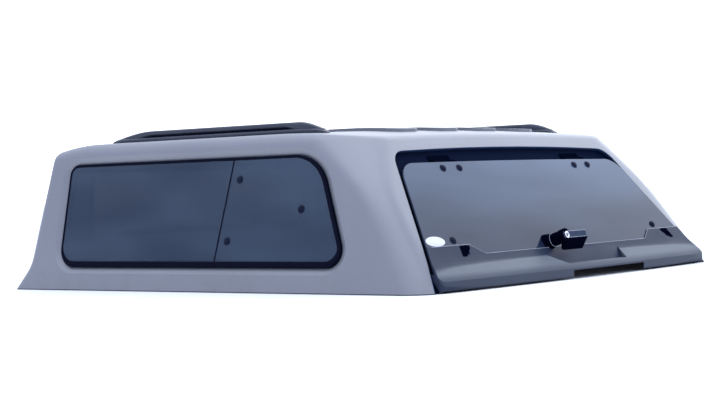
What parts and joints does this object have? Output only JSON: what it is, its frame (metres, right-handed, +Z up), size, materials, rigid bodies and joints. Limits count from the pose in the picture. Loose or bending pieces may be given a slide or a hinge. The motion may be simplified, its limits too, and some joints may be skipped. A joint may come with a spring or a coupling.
{
  "type": "pickup truck canopy",
  "caption": "Moulded pickup bed canopy with leaning sides, tinted windows, roof rails and a top-hinged glass rear door with a turning lever handle.",
  "frame": {"origin": "centre of the canopy's bounding box, at the plane of the base", "axes": "+X to the vehicle's right, +Y towards the cab, +Z up"},
  "size_m": [1.7, 1.72, 0.5032],
  "materials": {
    "body_paint": "metallic grey gel coat on moulded glass fibre",
    "tinted_glass": "dark tint",
    "rubber": "matt",
    "black_plastic": "satin",
    "lip_plastic": "satin charcoal",
    "steel": "zinc plated",
    "chrome": "polished"
  },
  "bodies": {
    "canopy": {"shell": "body_paint", "base_seal": "rubber", "front_gasket": "rubber", "front_glass": "tinted_glass", "door_seal": "rubber", "left_gasket": "rubber", "left_front_pane": "tinted_glass", "left_rear_pane": "tinted_glass", "left_pane_divider": "rubber", "left_pane_caps": "black_plastic", "left_rail_strip": "black_plastic", "left_rail_bar": "black_plastic", "left_hinge_base": "steel", "right_gasket": "rubber", "right_front_pane": "tinted_glass", "right_rear_pane": "tinted_glass", "right_pane_divider": "rubber", "right_pane_caps": "black_plastic", "right_rail_strip": "black_plastic", "right_rail_bar": "black_plastic", "right_hinge_base": "steel"},
    "door": {"door_glass": "tinted_glass", "door_lip": "lip_plastic", "door_caps": "black_plastic", "left_hinge_strap": "steel", "right_hinge_strap": "steel", "handle_base": "black_plastic", "lock_case": "black_plastic"},
    "handle": {"handle_barrel": "black_plastic", "handle_grip": "black_plastic", "handle_key": "chrome", "handle_spindle": "steel"}
  },
  "joints": [
    {"name": "door_hinge", "type": "hinge", "parent": "canopy", "child": "door", "pos_m": [0, -0.56829, 0.3687], "axis": [-1, 0, 0], "range_deg": [0, 70]},
    {"name": "handle_turn", "type": "hinge", "parent": "door", "child": "handle", "pos_m": [-0.112, -0.76347, 0.11087], "axis": [0, -0.9455, 0.3256], "range_deg": [0, 90]}
  ]
}
